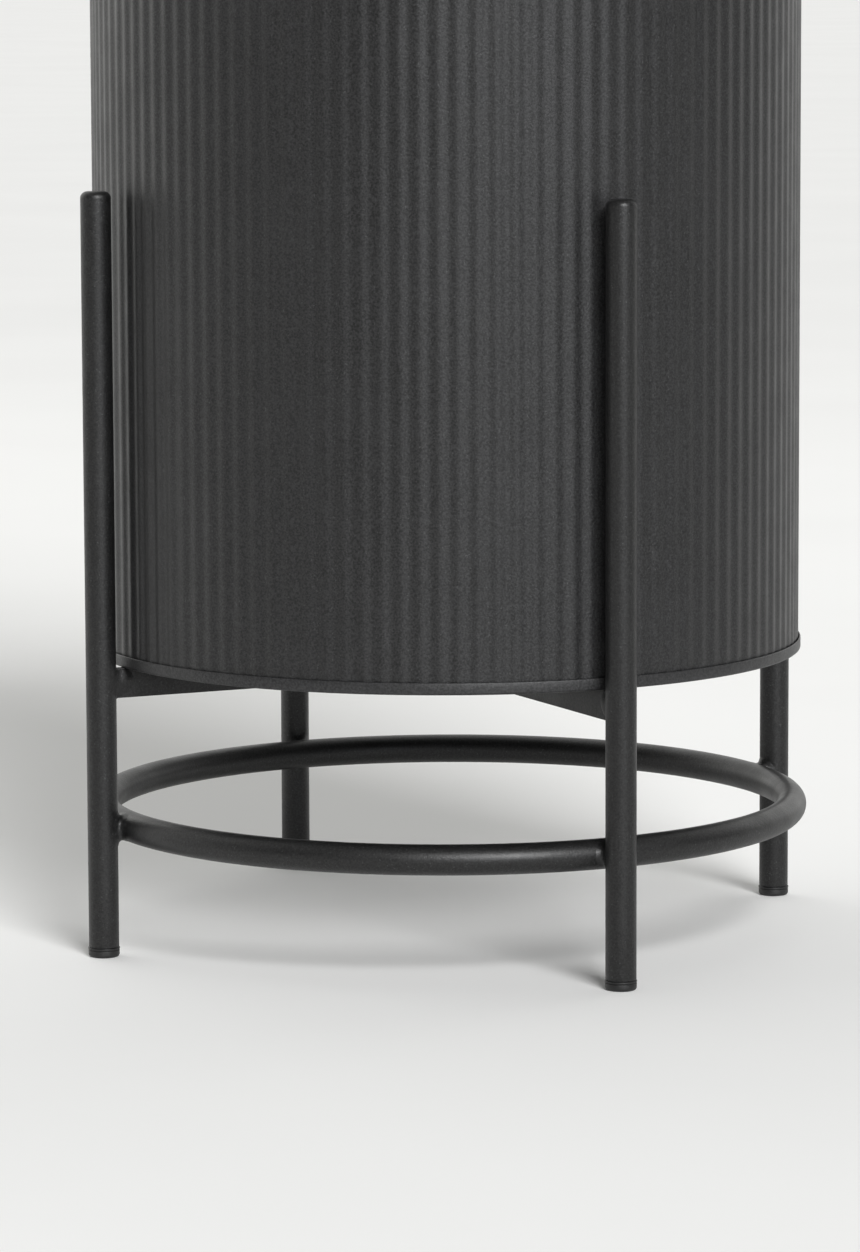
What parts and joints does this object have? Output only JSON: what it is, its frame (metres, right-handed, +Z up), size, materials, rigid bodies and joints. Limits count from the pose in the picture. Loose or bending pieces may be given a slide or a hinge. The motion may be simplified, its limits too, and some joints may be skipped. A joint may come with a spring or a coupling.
{
  "type": "ashtray bin",
  "caption": "Round ribbed sheet-metal ashtray bin in a tube stand, with a framed litter opening, lift-off head, ash bowl, grille and lift-out liner.",
  "frame": {"origin": "on the floor, at the middle of the stand", "axes": "+Z up, -Y towards the litter opening at the front, +X to the right seen from the front"},
  "size_m": [0.3076, 0.3076, 0.6142],
  "materials": {
    "drum_powder_coat": "matt anthracite powder coat with a fine grain",
    "stand_powder_coat": "matt black powder coat with a fine grain",
    "foot_plastic": "moulded black polyethylene",
    "bowl_steel": "satin black stove enamel",
    "grille_steel": "brushed stainless",
    "galvanised_sheet": "hot-dip galvanised sheet with spangle",
    "bright_wire": "drawn zinc-plated wire",
    "rivet_aluminium": "bright aluminium",
    "rivet_black": "matt anthracite powder coat"
  },
  "bodies": {
    "stand": {"front_left_leg": "stand_powder_coat", "front_right_leg": "stand_powder_coat", "rear_right_leg": "stand_powder_coat", "rear_left_leg": "stand_powder_coat", "front_left_foot_cap": "foot_plastic", "front_right_foot_cap": "foot_plastic", "rear_right_foot_cap": "foot_plastic", "rear_left_foot_cap": "foot_plastic", "base_ring": "stand_powder_coat", "cross_bar_slotted_above": "stand_powder_coat", "cross_bar_slotted_below": "stand_powder_coat", "ring_welds": "stand_powder_coat", "bar_welds": "stand_powder_coat"},
    "drum": {"drum_shell": "drum_powder_coat", "base_pan": "drum_powder_coat", "top_rim": "drum_powder_coat", "opening_frame": "drum_powder_coat", "frame_rivets": "rivet_black"},
    "liner": {"liner_wall": "galvanised_sheet", "liner_base": "galvanised_sheet", "bail_ears": "galvanised_sheet", "ear_rivets": "rivet_aluminium"},
    "bail": {"bail": "bright_wire"},
    "head": {"head_cover": "drum_powder_coat"},
    "ash_bowl": {"ash_bowl": "bowl_steel"},
    "stub_grille": {"stub_grille": "grille_steel"}
  },
  "joints": [
    {"name": "drum_lift", "type": "slide", "parent": "stand", "child": "drum", "axis": [0, 0, 1], "range_m": [0, 0.21]},
    {"name": "head_lift", "type": "slide", "parent": "drum", "child": "head", "axis": [0, 0, 1], "range_m": [0, 0.62]},
    {"name": "bowl_lift", "type": "slide", "parent": "head", "child": "ash_bowl", "axis": [0, 0, 1], "range_m": [0, 0.06]},
    {"name": "grille_lift", "type": "slide", "parent": "ash_bowl", "child": "stub_grille", "axis": [0, 0, 1], "range_m": [0, 0.03]},
    {"name": "liner_lift", "type": "slide", "parent": "drum", "child": "liner", "axis": [0, 0, 1], "range_m": [0, 0.49]},
    {"name": "bail_swing", "type": "hinge", "parent": "liner", "child": "bail", "pos_m": [0, 0, 0.4511], "axis": [1, 0, 0], "range_deg": [0, 90]}
  ],
  "couplings": [
    {"joint": "liner_lift", "follows": "head_lift", "ratio": 0.7887},
    {"joint": "bail_swing", "follows": "head_lift", "rad_per_m": 2.5319}
  ]
}
